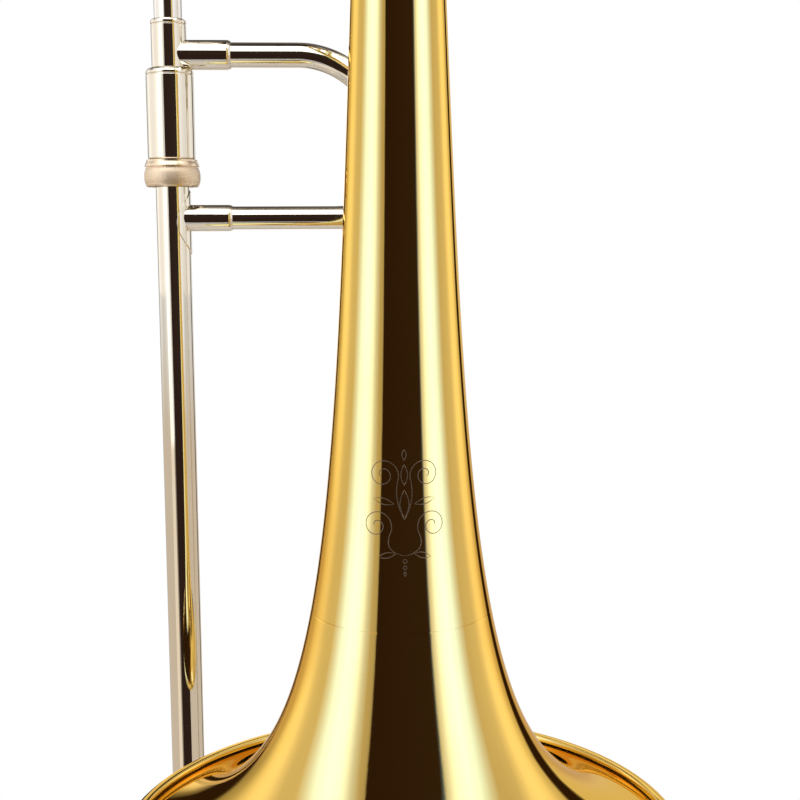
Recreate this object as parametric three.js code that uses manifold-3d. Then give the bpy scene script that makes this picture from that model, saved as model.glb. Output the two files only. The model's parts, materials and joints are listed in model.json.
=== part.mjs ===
// A straight small-bore Bb tenor trombone, standing bell down, in millimetres with +Z up.
// The bell's axis is the Z axis and its mouth lies in the plane z = 0, facing -Z.
// The slide hangs behind the bell: its bell-side leg at x = 0, its mouthpiece-side leg at -X.
import * as THREE from "three";
import { mergeVertices } from "three/addons/utils/BufferGeometryUtils.js";
import Module from "manifold-3d";

const wasm = await Module();
wasm.setup();

// Driving dimensions
const GAP = 0.3; // between pieces that are soldered, pressed or fitted together
const SIDES = 16; // facets round every tube
const BELL_SIDES = 32;
const LEG_SPACING = 92.4; // between the two legs of the slide
const SLIDE_OFFSET = 117; // from the bell's axis to the plane of the slide

const BELL_TOP = 478; // where the stem ends in its tuning-slide tube
const BELL_WALL = 0.8;
const BEAD = { radius: 100.5, height: 2, section: 2, wall: 0.5 }; // the rolled edge, 205 mm across
// The flare is a gentle cone plus three terms that die away up the stem: [size, length].
const STEM_CONE = { radius: 26.69, slope: 0.0358 };
const FLARE_TERMS = [[35.2, 14.95], [36.99, 57.99], [3.62, 3.23]];
const BELL_SEAM = 85; // where the flare is joined to the stem
const FLARE_GRADING = { steps: 8, crowding: 2.9 };
const STEM_GRADING = { steps: 5, crowding: 1.8 };

const TUNING = { outer: 9.5, bore: 8.9, leg: 8.6, legBore: 8, top: 556, legFoot: 492, bend: 582 };
const FERRULE = { bore: 10.2, outer: 11.1, foot: 471, top: 494 };
const NECK = { foot: 346, footRadius: 8.2, topRadius: 9.4, wall: 0.6 };
const UPPER_BELL_BRACE_Z = 452;
const LOWER_BELL_BRACE_Z = 378;
const BELL_BRACE_RADIUS = 4.5;

const OUTER_TUBE = { outer: 7.25, bore: 6.95, top: 254, foot: -430 };
const INNER_TUBE = { outer: 6.55, bore: 6.25, top: 307, foot: -275 };
const STOCKING = { outer: 6.65, foot: -400 };
const BARREL = { outer: 10.15, bore: 9.6, foot: 250.4, top: 288.4, lid: 2.9 };
const LOCK_RING = { bore: 9.2, foot: 238.7, top: 250.1, edge: 11.2, middle: 12.05 };
const RECEIVER = { bore: 6.9, outer: 7.6, foot: 288.7, top: 308.7 };
const LOCK_NUT = { outer: 14.6, foot: 290.6, top: 310.5 };
const INNER_BRACE = { z: 294.3, tube: 5.3, socket: 6.3, socketReach: 26.3, bend: 38 };
const BRACE_INSET = 14.5; // from a leg's axis to where a brace's tube starts in its socket
const OUTER_BRACE = { z: 225.4, tube: 5.05, socket: 5.75, mouthReach: 25.7, bellReach: 17.5 };
const LENS = { top: 11.8, foot: -15.8, width: 7.2, thickness: 0.8 }; // the brace's saddle on the leg
const BOW = { z: -450, ferruleFoot: -452, ferruleTop: -414, ferrule: 8.5 };
const BUMPER = { foot: -520, cupFoot: -512, radius: 4.4 };
const WATER_KEY = { spoutAngle: 35, pivotAngle: 80, spoutTop: 12.5, pivotHeight: 11.8, pin: 1 };
const MOUTHPIECE_FOOT = 283.7;

const material = (color, metalness, roughness) =>
  new THREE.MeshStandardMaterial({ color, metalness, roughness });
const BRASS = material(0xd9a63c, 1, 0.15);
const NICKEL = material(0xd9cdb8, 1, 0.18);
const SILVER = material(0xe6e6ea, 1, 0.12);
const STEEL = material(0xb8b8ba, 1, 0.3);
const RUBBER = material(0x1c1b1a, 0, 0.8);
const CORK = material(0xa9794a, 0, 0.9);
const FELT = material(0x8a2f2a, 0, 1);

// Solids: every geometry below is closed and faces out.
const degrees = THREE.MathUtils.degToRad;

function toSolid(geometry) {
  const bare = geometry.clone();
  bare.deleteAttribute("normal");
  bare.deleteAttribute("uv");
  const merged = mergeVertices(bare, 1e-3);
  const triVerts = new Uint32Array(merged.index.array);
  const mesh = { numProp: 3, vertProperties: merged.attributes.position.array, triVerts };
  return new wasm.Manifold(new wasm.Mesh(mesh));
}

function toGeometry(solid) {
  const mesh = solid.getMesh();
  const geometry = new THREE.BufferGeometry();
  geometry.setAttribute("position", new THREE.BufferAttribute(mesh.vertProperties, 3));
  geometry.setIndex(new THREE.BufferAttribute(mesh.triVerts, 1));
  return geometry;
}

// Joins the first geometry with those in `joined`, then cuts away those in `removed`.
function combine(first, joined, removed) {
  let solid = toSolid(first);
  for (const geometry of joined) solid = solid.add(toSolid(geometry));
  for (const geometry of removed) solid = solid.subtract(toSolid(geometry));
  return toGeometry(solid);
}

// Turns a closed outline of [radius, height] points about the Z axis.
function turned(outline, sides = SIDES) {
  const points = outline.map(([radius, height]) => new THREE.Vector2(radius, height));
  if (THREE.ShapeUtils.area(points) < 0) points.reverse();
  points.push(points[0].clone());
  return new THREE.LatheGeometry(points, sides).rotateX(Math.PI / 2);
}

function tube(outer, bore, foot, top, sides = SIDES) {
  return turned([[bore, foot], [outer, foot], [outer, top], [bore, top]], sides);
}

// A solid rod along Z, standing on z = foot.
function rod(radius, foot, top, sides = SIDES) {
  const height = top - foot;
  const cylinder = new THREE.CylinderGeometry(radius, radius, height, sides);
  return cylinder.rotateX(Math.PI / 2).translate(0, 0, foot + height / 2);
}

function block(x0, x1, y0, y1, z0, z1) {
  const box = new THREE.BoxGeometry(x1 - x0, y1 - y0, z1 - z0);
  return box.translate((x0 + x1) / 2, (y0 + y1) / 2, (z0 + z1) / 2);
}

function roundSection(radius, sides) {
  const point = (_, i) => {
    const angle = (2 * Math.PI * i) / sides;
    return new THREE.Vector2(radius * Math.cos(angle), radius * Math.sin(angle));
  };
  return new THREE.Shape(Array.from({ length: sides }, point));
}

function swept(path, radius, steps, sides = 12) {
  const options = { extrudePath: path, steps, bevelEnabled: false };
  return new THREE.ExtrudeGeometry(roundSection(radius, sides), options);
}

// A half circle below z = 0 in the XZ plane, from +X to -X, with straight ends `stub` long.
function halfTurn(radius, stub) {
  const path = new THREE.CurvePath();
  path.add(new THREE.LineCurve3(
    new THREE.Vector3(radius, 0, stub), new THREE.Vector3(radius, 0, 0)));
  path.add(new HalfCircle(radius));
  path.add(new THREE.LineCurve3(
    new THREE.Vector3(-radius, 0, 0), new THREE.Vector3(-radius, 0, stub)));
  return path;
}

class HalfCircle extends THREE.Curve {
  constructor(radius) {
    super();
    this.radius = radius;
  }

  getPoint(t, target = new THREE.Vector3()) {
    const angle = Math.PI * t;
    return target.set(this.radius * Math.cos(angle), 0, -this.radius * Math.sin(angle));
  }
}

function hollowTurn(radius, stub, outer, bore, steps) {
  const shell = swept(halfTurn(radius, stub), outer, steps);
  return combine(shell, [], [swept(halfTurn(radius, stub + 1), bore, steps)]);
}

function piece(group, name, geometry, finish) {
  const mesh = new THREE.Mesh(geometry, finish);
  mesh.name = name;
  group.add(mesh);
  return mesh;
}

function groupAt(parent, x, y, z) {
  const group = new THREE.Group();
  group.position.set(x, y, z);
  parent.add(group);
  return group;
}

// Bell section
function bellRadius(z) {
  const flare = FLARE_TERMS.reduce((sum, [size, length]) => sum + size * Math.exp(-z / length), 0);
  return STEM_CONE.radius - STEM_CONE.slope * z + flare;
}

// The wall at height z, `inset` in from the outer surface.
function bellWall(z, inset) {
  const slope = (bellRadius(z + 0.01) - bellRadius(z - 0.01)) / 0.02;
  const length = Math.hypot(1, slope);
  return [bellRadius(z) - inset / length, z + (inset * slope) / length];
}

function beadPoints(section, from, to, steps) {
  return Array.from({ length: steps + 1 }, (_, i) => {
    const angle = degrees(from + ((to - from) * i) / steps);
    return [BEAD.radius + section * Math.cos(angle), BEAD.height + section * Math.sin(angle)];
  });
}

// The wall between two heights as a closed outline; the steps crowd towards the lower end.
function bellOutline(from, to, { steps, crowding }, rim = []) {
  const heights = Array.from({ length: steps + 1 }, (_, i) => {
    const share = Math.expm1((crowding * i) / steps) / Math.expm1(crowding);
    return from + (to - from) * share;
  });
  const back = heights.map((z) => bellWall(z, 0));
  const throat = heights.map((z) => bellWall(z, BELL_WALL)).reverse();
  throat[0][1] = to;
  return [...throat, ...rim, ...back];
}

function bellFlare() {
  const curl = beadPoints(BEAD.section, -75, 190, 6);
  const curlInside = beadPoints(BEAD.section - BEAD.wall, 190, -85, 6);
  const lip = [[BEAD.radius - BEAD.section / 2, 0], [BEAD.radius + BEAD.section / 4, 0]];
  return turned(bellOutline(1, BELL_SEAM, FLARE_GRADING, [...lip, ...curl, ...curlInside]), BELL_SIDES);
}

function rimWire() {
  const section = beadPoints(BEAD.section - BEAD.wall - GAP, 0, 300, 5);
  return turned(section, BELL_SIDES);
}

// A soldered foot with a socket: its axis is Z, and the tube it sits on crosses it at z = 0.
function braceFoot(tubeRadius, braceRadius) {
  const seat = tubeRadius + GAP;
  const bore = braceRadius + GAP;
  const foot = turned([
    [bore, 0], [7.4, 0], [7.4, seat + 0.6], [bore + 0.9, seat + 2],
    [bore + 0.9, seat + 8], [bore, seat + 8],
  ], 16);
  return combine(foot, [], [rod(seat, -20, 20, 24).rotateY(Math.PI / 2)]);
}

function bellBrace(group, name, z) {
  const neckRadius = neckRadiusAt(z);
  const stemRadius = bellRadius(z - 7);
  const span = { from: stemRadius + 2.5, to: SLIDE_OFFSET - neckRadius - 2.5 };
  const bar = tube(BELL_BRACE_RADIUS, BELL_BRACE_RADIUS - 0.6, span.from, span.to, 16);
  piece(group, name, bar.rotateX(-Math.PI / 2).translate(0, 0, z), BRASS);
  const stemFoot = braceFoot(stemRadius, BELL_BRACE_RADIUS);
  const neckFoot = braceFoot(neckRadius, BELL_BRACE_RADIUS);
  const stemName = name + "_stem_foot";
  const neckName = name + "_neck_foot";
  // The saddle's tube runs along local X, so a quarter turn about the foot's axis stands it up.
  const upright = (foot) => foot.rotateZ(Math.PI / 2);
  piece(group, stemName, upright(stemFoot).rotateX(-Math.PI / 2).translate(0, 0, z), BRASS);
  const placed = upright(neckFoot).rotateX(Math.PI / 2).translate(0, SLIDE_OFFSET, z);
  piece(group, neckName, placed, BRASS);
}

function neckRadiusAt(z) {
  const share = (z - NECK.foot) / (BELL_TOP - NECK.foot);
  return NECK.footRadius + (NECK.topRadius - NECK.footRadius) * share;
}

function buildBellSection(root) {
  const neck = groupAt(root, 0, SLIDE_OFFSET, 0);
  const stem = bellOutline(BELL_SEAM + GAP, BELL_TOP, STEM_GRADING);
  piece(root, "bell_flare", bellFlare(), BRASS);
  piece(root, "bell_stem", turned(stem, BELL_SIDES), BRASS);
  piece(root, "rim_wire", rimWire(), STEEL);
  for (const [group, side] of [[root, "stem"], [neck, "neck"]]) {
    const slideTube = tube(TUNING.outer, TUNING.bore, BELL_TOP + GAP, TUNING.top);
    piece(group, side + "_slide_tube", slideTube, BRASS);
    const ferrule = tube(FERRULE.outer, FERRULE.bore, FERRULE.foot, FERRULE.top);
    piece(group, side + "_ferrule", ferrule, NICKEL);
  }
  piece(neck, "neckpipe", turned([
    [NECK.footRadius - NECK.wall, NECK.foot], [NECK.footRadius, NECK.foot],
    [NECK.topRadius, BELL_TOP], [NECK.topRadius - NECK.wall, BELL_TOP],
  ]), BRASS);
  piece(neck, "bell_receiver", turned([
    [9.9, 298], [12.4, 298], [12.4, 311], [13.4, 312.5], [13.4, 316], [11.2, 318],
    [11.2, 345], [9.6, 352], [8.6, 352], [8.6, 345.5], [9.9, 345.5],
  ]), NICKEL);
  bellBrace(root, "upper_bell_brace", UPPER_BELL_BRACE_Z);
  bellBrace(root, "lower_bell_brace", LOWER_BELL_BRACE_Z);
}

function buildTuningSlide(root) {
  const neck = groupAt(root, 0, SLIDE_OFFSET, 0);
  const bendFoot = TUNING.bend - 11;
  const ferruleOuter = TUNING.leg + GAP + 1.1;
  for (const [group, side] of [[root, "stem"], [neck, "neck"]]) {
    const leg = tube(TUNING.leg, TUNING.legBore, TUNING.legFoot, bendFoot - GAP);
    piece(group, "tuning_leg_" + side, leg, NICKEL);
    const ferrule = tube(ferruleOuter, TUNING.leg + GAP, TUNING.top + GAP, TUNING.bend - 2);
    piece(group, "tuning_ferrule_" + side, ferrule, NICKEL);
  }
  const bow = hollowTurn(SLIDE_OFFSET / 2, TUNING.bend - bendFoot, TUNING.leg, TUNING.legBore, 18);
  bow.rotateX(Math.PI).rotateZ(Math.PI / 2).translate(0, SLIDE_OFFSET / 2, TUNING.bend);
  piece(root, "tuning_bow", bow, BRASS);
  const braceZ = TUNING.bend - 14;
  const bar = turned([
    [0.01, 0], [6, 0], [6, 11], [3.6, 14], [3.6, SLIDE_OFFSET - 14],
    [6, SLIDE_OFFSET - 11], [6, SLIDE_OFFSET], [0.01, SLIDE_OFFSET],
  ], 16).rotateX(-Math.PI / 2);
  const seats = [0, SLIDE_OFFSET].map((y) => rod(ferruleOuter + GAP, -30, 30).translate(0, y, 0));
  piece(root, "tuning_brace", combine(bar, [], seats).translate(0, 0, braceZ), BRASS);
}

// Slide section: both groups below have a leg's axis as their Z axis.
function convexRing(bore) {
  const { foot, top, edge, middle } = LOCK_RING;
  const centre = (foot + top) / 2;
  return turned([
    [bore, foot], [edge, foot], [middle - 0.15, foot + 2], [middle, centre],
    [middle - 0.15, top - 2], [edge, top], [bore, top],
  ], 20);
}

function buildLockParts(neck) {
  piece(neck, "retaining_ring", tube(10.5, 8.7, 288.9, 290.3), STEEL);
  const { outer, foot, top } = LOCK_NUT;
  piece(neck, "bell_lock_nut", turned([
    [8.7, foot], [outer - 0.8, foot], [outer, foot + 1.4], [outer, top - 1.4],
    [outer - 0.8, top], [12.8, top], [12.8, foot + 3.3], [8.7, foot + 3.3],
  ], 20), NICKEL);
  piece(neck, "tenon", turned([
    [RECEIVER.bore, 288.7], [8.4, 288.7], [8.4, 294.2], [11.6, 294.2], [11.6, 297.7],
    [9.6, 297.7], [9.2, 345], [8.3, 345], [RECEIVER.bore, 310],
  ]), NICKEL);
}

function slideLock(mouth) {
  // The ring's recess lets the collar's lug turn 45 degrees and drop out downwards.
  const sector = new THREE.Shape();
  sector.absarc(0, 0, LOCK_RING.middle - 1.15, degrees(30), degrees(104), false);
  sector.lineTo(0, 0);
  const depth = LOCK_RING.top - LOCK_RING.foot - 1;
  const recess = new THREE.ExtrudeGeometry(sector, { depth, bevelEnabled: false, curveSegments: 6 });
  recess.translate(0, 0, LOCK_RING.foot - 0.5);
  const ring = combine(convexRing(LOCK_RING.bore), [], [recess]);
  piece(mouth, "slide_lock_ring", ring, NICKEL);
}

function innerBracePath() {
  // From inside the socket, straight towards the bell-side leg, then bending down to its barrel.
  const { z, bend, tube: radius } = INNER_BRACE;
  const path = new THREE.CurvePath();
  path.add(new THREE.LineCurve3(
    new THREE.Vector3(-LEG_SPACING + BRACE_INSET + 2 * GAP, 0, z),
    new THREE.Vector3(-bend, 0, z)));
  const arc = new THREE.Curve();
  const reach = Math.asin(1 - (BARREL.outer - 4) / bend); // ends inside the barrel's outline
  arc.getPoint = (t, target = new THREE.Vector3()) => target.set(
    -bend + bend * Math.sin(reach * t), 0, z - bend + bend * Math.cos(reach * t));
  path.add(arc);
  return swept(path, radius, 16, 12);
}

function buildInnerSlide(mouth, neck) {
  const barrelSpace = () => rod(BARREL.outer + GAP, BARREL.foot - 10, BARREL.top + GAP, 24);
  for (const [leg, side] of [[mouth, "mouth"], [neck, "bell"]]) {
    const top = side === "mouth" ? INNER_TUBE.top : INNER_TUBE.top - 7;
    piece(leg, "inner_tube_" + side, tube(INNER_TUBE.outer, INNER_TUBE.bore, INNER_TUBE.foot, top), NICKEL);
    const stocking = tube(STOCKING.outer, INNER_TUBE.bore, STOCKING.foot, INNER_TUBE.foot - GAP);
    piece(leg, "stocking_" + side, stocking, NICKEL);
    const lid = BARREL.top - BARREL.lid;
    piece(leg, "cork_barrel_" + side, turned([
      [BARREL.bore, BARREL.foot], [BARREL.outer, BARREL.foot], [BARREL.outer, BARREL.top - 0.6],
      [BARREL.outer - 0.6, BARREL.top], [RECEIVER.bore, BARREL.top], [RECEIVER.bore, lid],
      [BARREL.bore, lid],
    ]), NICKEL);
    const felt = tube(BARREL.bore - GAP, RECEIVER.bore, OUTER_TUBE.top + 1, OUTER_TUBE.top + 8);
    piece(leg, "barrel_felt_" + side, felt, FELT);
  }
  piece(neck, "barrel_ring_bell", convexRing(LOCK_RING.bore), NICKEL);
  const receiver = tube(RECEIVER.outer, RECEIVER.bore, RECEIVER.foot, RECEIVER.top);
  piece(mouth, "mouthpiece_receiver", receiver, NICKEL);
  piece(mouth, "leadpipe", tube(5.95, 5.5, 105, 281), BRASS);

  const along = (geometry) => geometry.rotateY(Math.PI / 2).translate(0, 0, INNER_BRACE.z);
  const socket = along(rod(INNER_BRACE.socket, 0, INNER_BRACE.socketReach, 16));
  const bore = along(rod(INNER_BRACE.tube + GAP, BRACE_INSET, INNER_BRACE.socketReach + 1, 16));
  const seat = rod(RECEIVER.outer + GAP, BARREL.foot, RECEIVER.top + 5);
  const socketPiece = combine(socket, [], [bore, seat, barrelSpace()]);
  piece(mouth, "inner_brace_socket", socketPiece, NICKEL);
  const nutSpace = rod(LOCK_NUT.outer + GAP, LOCK_NUT.foot - GAP, LOCK_NUT.top, 24);
  const ringSpace = rod(10.8, BARREL.top, LOCK_NUT.top, 24);
  const inner = combine(innerBracePath(), [], [barrelSpace(), ringSpace, nutSpace]);
  piece(neck, "inner_brace", inner, NICKEL);
}

// A thin pointed-oval saddle on the side of the leg, with a socket for the brace.
function lensFlange(reach) {
  const middle = (LENS.top + LENS.foot) / 2;
  const outline = new THREE.Shape();
  outline.moveTo(0, LENS.foot);
  outline.quadraticCurveTo(LENS.width * 2, middle, 0, LENS.top);
  outline.quadraticCurveTo(-LENS.width * 2, middle, 0, LENS.foot);
  const options = { depth: 12, bevelEnabled: false, curveSegments: 8 };
  const lens = new THREE.ExtrudeGeometry(outline, options);
  // The outline's own axes become Y and Z, and its depth runs along X.
  lens.applyMatrix4(new THREE.Matrix4().set(0, 0, 1, 0.3, 1, 0, 0, 0, 0, 1, 0, 0, 0, 0, 0, 1));
  const shell = rod(OUTER_TUBE.outer + GAP + LENS.thickness, -20, 20);
  const saddle = toGeometry(toSolid(lens).intersect(toSolid(shell)));
  const along = (geometry) => geometry.rotateY(Math.PI / 2);
  const socket = along(rod(OUTER_BRACE.socket, 0, reach, 16));
  const bore = along(rod(OUTER_BRACE.tube + GAP, BRACE_INSET - 1, reach + 1, 16));
  const leg = rod(OUTER_TUBE.outer + GAP, -30, 30);
  return combine(saddle, [socket], [bore, leg]);
}

function buildOuterSlide(mouth, neck) {
  const { outer, bore, top, foot } = OUTER_TUBE;
  for (const [leg, side] of [[mouth, "mouth"], [neck, "bell"]]) {
    piece(leg, "outer_tube_" + side, tube(outer, bore, foot, top), NICKEL);
    const ferrule = tube(BOW.ferrule, outer + GAP, BOW.ferruleFoot, BOW.ferruleTop);
    piece(leg, "bow_ferrule_" + side, ferrule, NICKEL);
    const collar = tube(8.7, outer + GAP, 241, 253.5);
    const lug = block(8.1, 10.5, -1.5, 1.5, 243, 247).rotateZ(Math.PI / 2);
    const lugged = combine(collar, [lug], []);
    piece(leg, "slide_collar_" + side, side === "mouth" ? lugged : collar, NICKEL);
    const flange = lensFlange(side === "mouth" ? OUTER_BRACE.mouthReach : OUTER_BRACE.bellReach);
    if (side === "bell") flange.rotateZ(Math.PI);
    piece(leg, "outer_brace_flange_" + side, flange.translate(0, 0, OUTER_BRACE.z), NICKEL);
  }
  const { tube: radius } = OUTER_BRACE;
  const bar = tube(radius, radius - 0.6, BRACE_INSET, LEG_SPACING - BRACE_INSET, 16);
  piece(mouth, "outer_brace", bar.rotateY(Math.PI / 2).translate(0, 0, OUTER_BRACE.z), NICKEL);
}

// The bow's group has its origin at the middle of the half circle, and +X towards the bell side.
function buildBow(bow) {
  const radius = LEG_SPACING / 2;
  const stub = OUTER_TUBE.foot - GAP - BOW.z;
  const space = () => swept(halfTurn(radius, stub), OUTER_TUBE.outer + GAP, 24);
  const spout = (outer, foot) => rod(outer, foot, radius + WATER_KEY.spoutTop, 12)
    .rotateY(Math.PI / 2).rotateY(degrees(90 - WATER_KEY.spoutAngle));
  const shell = hollowTurn(radius, stub, OUTER_TUBE.outer, OUTER_TUBE.bore, 16);
  piece(bow, "slide_bow", combine(shell, [], [spout(1.8, radius)]), NICKEL);
  const nipple = combine(spout(3.4, radius + 2), [], [spout(1.8, radius), space()]);
  piece(bow, "water_key_spout", nipple, NICKEL);

  const cupFoot = BUMPER.cupFoot - BOW.z;
  const socketTop = cupFoot + 5;
  const cup = turned([
    [0.01, socketTop], [BUMPER.radius + GAP, socketTop], [BUMPER.radius + GAP, cupFoot],
    [6.4, cupFoot], [7.2, cupFoot + 6], [7.2, cupFoot + 15], [0.01, cupFoot + 15],
  ]);
  piece(bow, "bumper_cup", combine(cup, [], [space()]), NICKEL);
  const bumperFoot = BUMPER.foot - BOW.z;
  piece(bow, "slide_bumper", turned([
    [0.01, bumperFoot], [3.4, bumperFoot], [BUMPER.radius, bumperFoot + 1.2],
    [BUMPER.radius, socketTop - GAP], [0.01, socketTop - GAP],
  ], 16), RUBBER);
}

// The key's group is turned so that its +X runs out through the pivot and its Z along the bow.
function buildWaterKey(key) {
  const radius = LEG_SPACING / 2;
  const pivot = radius + WATER_KEY.pivotHeight;
  const onPivot = (geometry) => geometry.rotateX(Math.PI / 2).translate(pivot, 0, 0);
  const bowSpace = swept(halfTurn(radius, 20), OUTER_TUBE.outer + GAP, 24);
  bowSpace.rotateY(-degrees(90 - WATER_KEY.pivotAngle));
  const base = block(radius + 4, pivot + 1.8, -5.2, 5.2, -3, 3);
  const slot = block(radius + 8.6, pivot + 3, -3.6, 3.6, -4, 4);
  const pinHole = onPivot(rod(WATER_KEY.pin + GAP, -8, 8, 12));
  piece(key, "water_key_saddle", combine(base, [], [slot, pinHole, bowSpace]), NICKEL);
  piece(key, "water_key_pin", onPivot(rod(WATER_KEY.pin, -5.8, 5.8, 12)), STEEL);

  const spoutTurn = degrees(WATER_KEY.pivotAngle - WATER_KEY.spoutAngle);
  const overSpout = (geometry) => geometry.rotateY(Math.PI / 2).rotateY(spoutTurn);
  const seat = radius + WATER_KEY.spoutTop + GAP;
  const cork = overSpout(rod(3.7, seat, seat + 2.6, 14));
  piece(key, "water_key_cork", cork, CORK);
  const cup = overSpout(rod(4.4, seat + 2.6 + GAP, seat + 5.4, 16));
  const end = new THREE.Vector3(seat + 4.5, 0, 0).applyAxisAngle(new THREE.Vector3(0, 1, 0), spoutTurn);
  const arm = new THREE.CatmullRomCurve3([
    new THREE.Vector3(pivot + 7.5, 0, 27), new THREE.Vector3(pivot + 4.6, 0, 15),
    new THREE.Vector3(pivot + 1, 0, 3), new THREE.Vector3(pivot + 0.6, 0, -12),
    new THREE.Vector3(pivot - 3, 0, -29), end,
  ]);
  const strip = new THREE.Shape([
    new THREE.Vector2(-1.6, -0.8), new THREE.Vector2(1.6, -0.8),
    new THREE.Vector2(1.6, 0.8), new THREE.Vector2(-1.6, 0.8),
  ]);
  const options = { extrudePath: arm, steps: 16, bevelEnabled: false };
  const lever = new THREE.ExtrudeGeometry(strip, options).translate(0, -1.4, 0);
  const hub = rod(2.5, -0.2, 3.2, 16).rotateX(Math.PI / 2).translate(pivot, 0, 0);
  const thumb = rod(5.5, 0, 1.6, 16).scale(1, 0.8, 1).rotateY(degrees(78))
    .translate(pivot + 5.4, 0, 24);
  piece(key, "water_key_lever", combine(lever, [hub, cup, thumb], [pinHole]), NICKEL);
}

function buildMouthpiece(mouth) {
  const foot = MOUTHPIECE_FOOT;
  piece(mouth, "mouthpiece", turned([
    [4.6, foot], [5.45, foot], [5.92, foot + 25], [6.05, foot + 40], [7.2, foot + 50],
    [8.6, foot + 53], [8.6, foot + 55], [10.6, foot + 60], [15.4, foot + 66.5],
    [18.2, foot + 74], [19.5, foot + 81], [19.2, foot + 83], [17.8, foot + 84],
    [14.8, foot + 84], [13, foot + 82.6], [12.4, foot + 78], [11.2, foot + 70],
    [8.6, foot + 63.5], [4.6, foot + 58.5], [3.2, foot + 55], [3.3, foot + 48],
  ], 20), SILVER);
}

const trombone = new THREE.Group();
const neckAxis = groupAt(trombone, 0, SLIDE_OFFSET, 0);
const mouthAxis = groupAt(trombone, -LEG_SPACING, SLIDE_OFFSET, 0);
const bowCentre = groupAt(trombone, -LEG_SPACING / 2, SLIDE_OFFSET, BOW.z);
const keyFrame = groupAt(bowCentre, 0, 0, 0);
keyFrame.rotation.y = degrees(90 - WATER_KEY.pivotAngle);

buildBellSection(trombone);
buildTuningSlide(trombone);
buildLockParts(neckAxis);
slideLock(mouthAxis);
buildInnerSlide(mouthAxis, neckAxis);
buildOuterSlide(mouthAxis, neckAxis);
buildBow(bowCentre);
buildWaterKey(keyFrame);
buildMouthpiece(mouthAxis);

export default trombone;
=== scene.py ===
"""The looks of a straight tenor trombone: fine meshes, metal finishes, camera and soft studio light."""
import json
import math

import bmesh
import bpy
from mathutils import Matrix, Vector

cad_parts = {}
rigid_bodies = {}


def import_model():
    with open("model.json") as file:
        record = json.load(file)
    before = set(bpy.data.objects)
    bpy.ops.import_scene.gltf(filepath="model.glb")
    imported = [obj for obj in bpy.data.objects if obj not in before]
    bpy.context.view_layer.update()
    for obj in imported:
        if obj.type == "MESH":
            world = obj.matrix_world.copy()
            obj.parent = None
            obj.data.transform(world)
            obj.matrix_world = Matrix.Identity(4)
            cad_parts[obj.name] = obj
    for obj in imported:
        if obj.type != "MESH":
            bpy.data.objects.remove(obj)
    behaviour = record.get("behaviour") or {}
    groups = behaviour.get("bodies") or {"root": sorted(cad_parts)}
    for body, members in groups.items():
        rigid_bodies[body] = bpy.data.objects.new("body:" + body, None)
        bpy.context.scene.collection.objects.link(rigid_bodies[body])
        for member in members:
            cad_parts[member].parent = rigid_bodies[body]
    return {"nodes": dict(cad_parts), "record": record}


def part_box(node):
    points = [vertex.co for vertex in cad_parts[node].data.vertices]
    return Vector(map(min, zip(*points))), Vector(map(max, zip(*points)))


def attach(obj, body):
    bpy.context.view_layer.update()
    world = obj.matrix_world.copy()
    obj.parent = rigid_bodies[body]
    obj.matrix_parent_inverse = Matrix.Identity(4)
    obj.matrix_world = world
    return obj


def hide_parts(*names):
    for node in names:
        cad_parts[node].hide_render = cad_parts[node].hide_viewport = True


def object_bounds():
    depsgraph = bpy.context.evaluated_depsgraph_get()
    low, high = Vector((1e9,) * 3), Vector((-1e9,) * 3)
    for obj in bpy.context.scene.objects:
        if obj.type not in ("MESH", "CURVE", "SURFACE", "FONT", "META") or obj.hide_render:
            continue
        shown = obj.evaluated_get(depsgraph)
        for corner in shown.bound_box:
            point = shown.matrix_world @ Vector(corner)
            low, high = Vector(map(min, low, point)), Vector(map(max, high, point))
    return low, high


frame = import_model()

MM = 0.001
CAD_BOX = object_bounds()
RECORD = frame["record"]
BODY_OF = {node: body for body, nodes in RECORD["behaviour"]["bodies"].items() for node in nodes}
SLOT_OF = {part["node"]: part["material_slot"] for part in RECORD["subparts"]}
LEGS = ("outer_tube_mouth", "outer_tube_bell", "bell_flare")
MOUTH, NECK, STEM = ((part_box(node)[0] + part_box(node)[1]) / 2 for node in LEGS)


# ---------------- measures from the frame
def axis_of(node):
    low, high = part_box(node)
    return (low.x + high.x) / 2, (low.y + high.y) / 2


def radius_of(node):
    """The outer radius in millimetres of a node that is turned about a vertical axis."""
    low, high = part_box(node)
    return (high.x - low.x) / 2 / MM


def span_of(node):
    """The lowest and highest z of a node, in millimetres."""
    low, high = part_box(node)
    return low.z / MM, high.z / MM


# ---------------- mesh building
SHARP_DEGREES = 50  # an edge that turns more than this is sharp
SHARP_AFTER_BOOLEAN = 35


def sharpened(piece, degrees):
    piece.data.shade_smooth()
    piece.data.set_sharp_from_angle(angle=math.radians(degrees))
    return piece


def smooth_object(name, bm):
    """A smooth-shaded object made of the bmesh, which it frees."""
    bmesh.ops.remove_doubles(bm, verts=bm.verts, dist=1e-7)
    bmesh.ops.dissolve_degenerate(bm, edges=bm.edges, dist=1e-7)
    bmesh.ops.recalc_face_normals(bm, faces=bm.faces)
    mesh = bpy.data.meshes.new(name)
    bm.to_mesh(mesh)
    bm.free()
    piece = bpy.data.objects.new(name, mesh)
    bpy.context.scene.collection.objects.link(piece)
    return sharpened(piece, SHARP_DEGREES)


def weighted(piece):
    """The piece with normals that lean towards its larger faces."""
    modifier = piece.modifiers.new("Weighted", "WEIGHTED_NORMAL")
    modifier.keep_sharp = True
    modifier.weight = 80
    return piece


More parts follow.
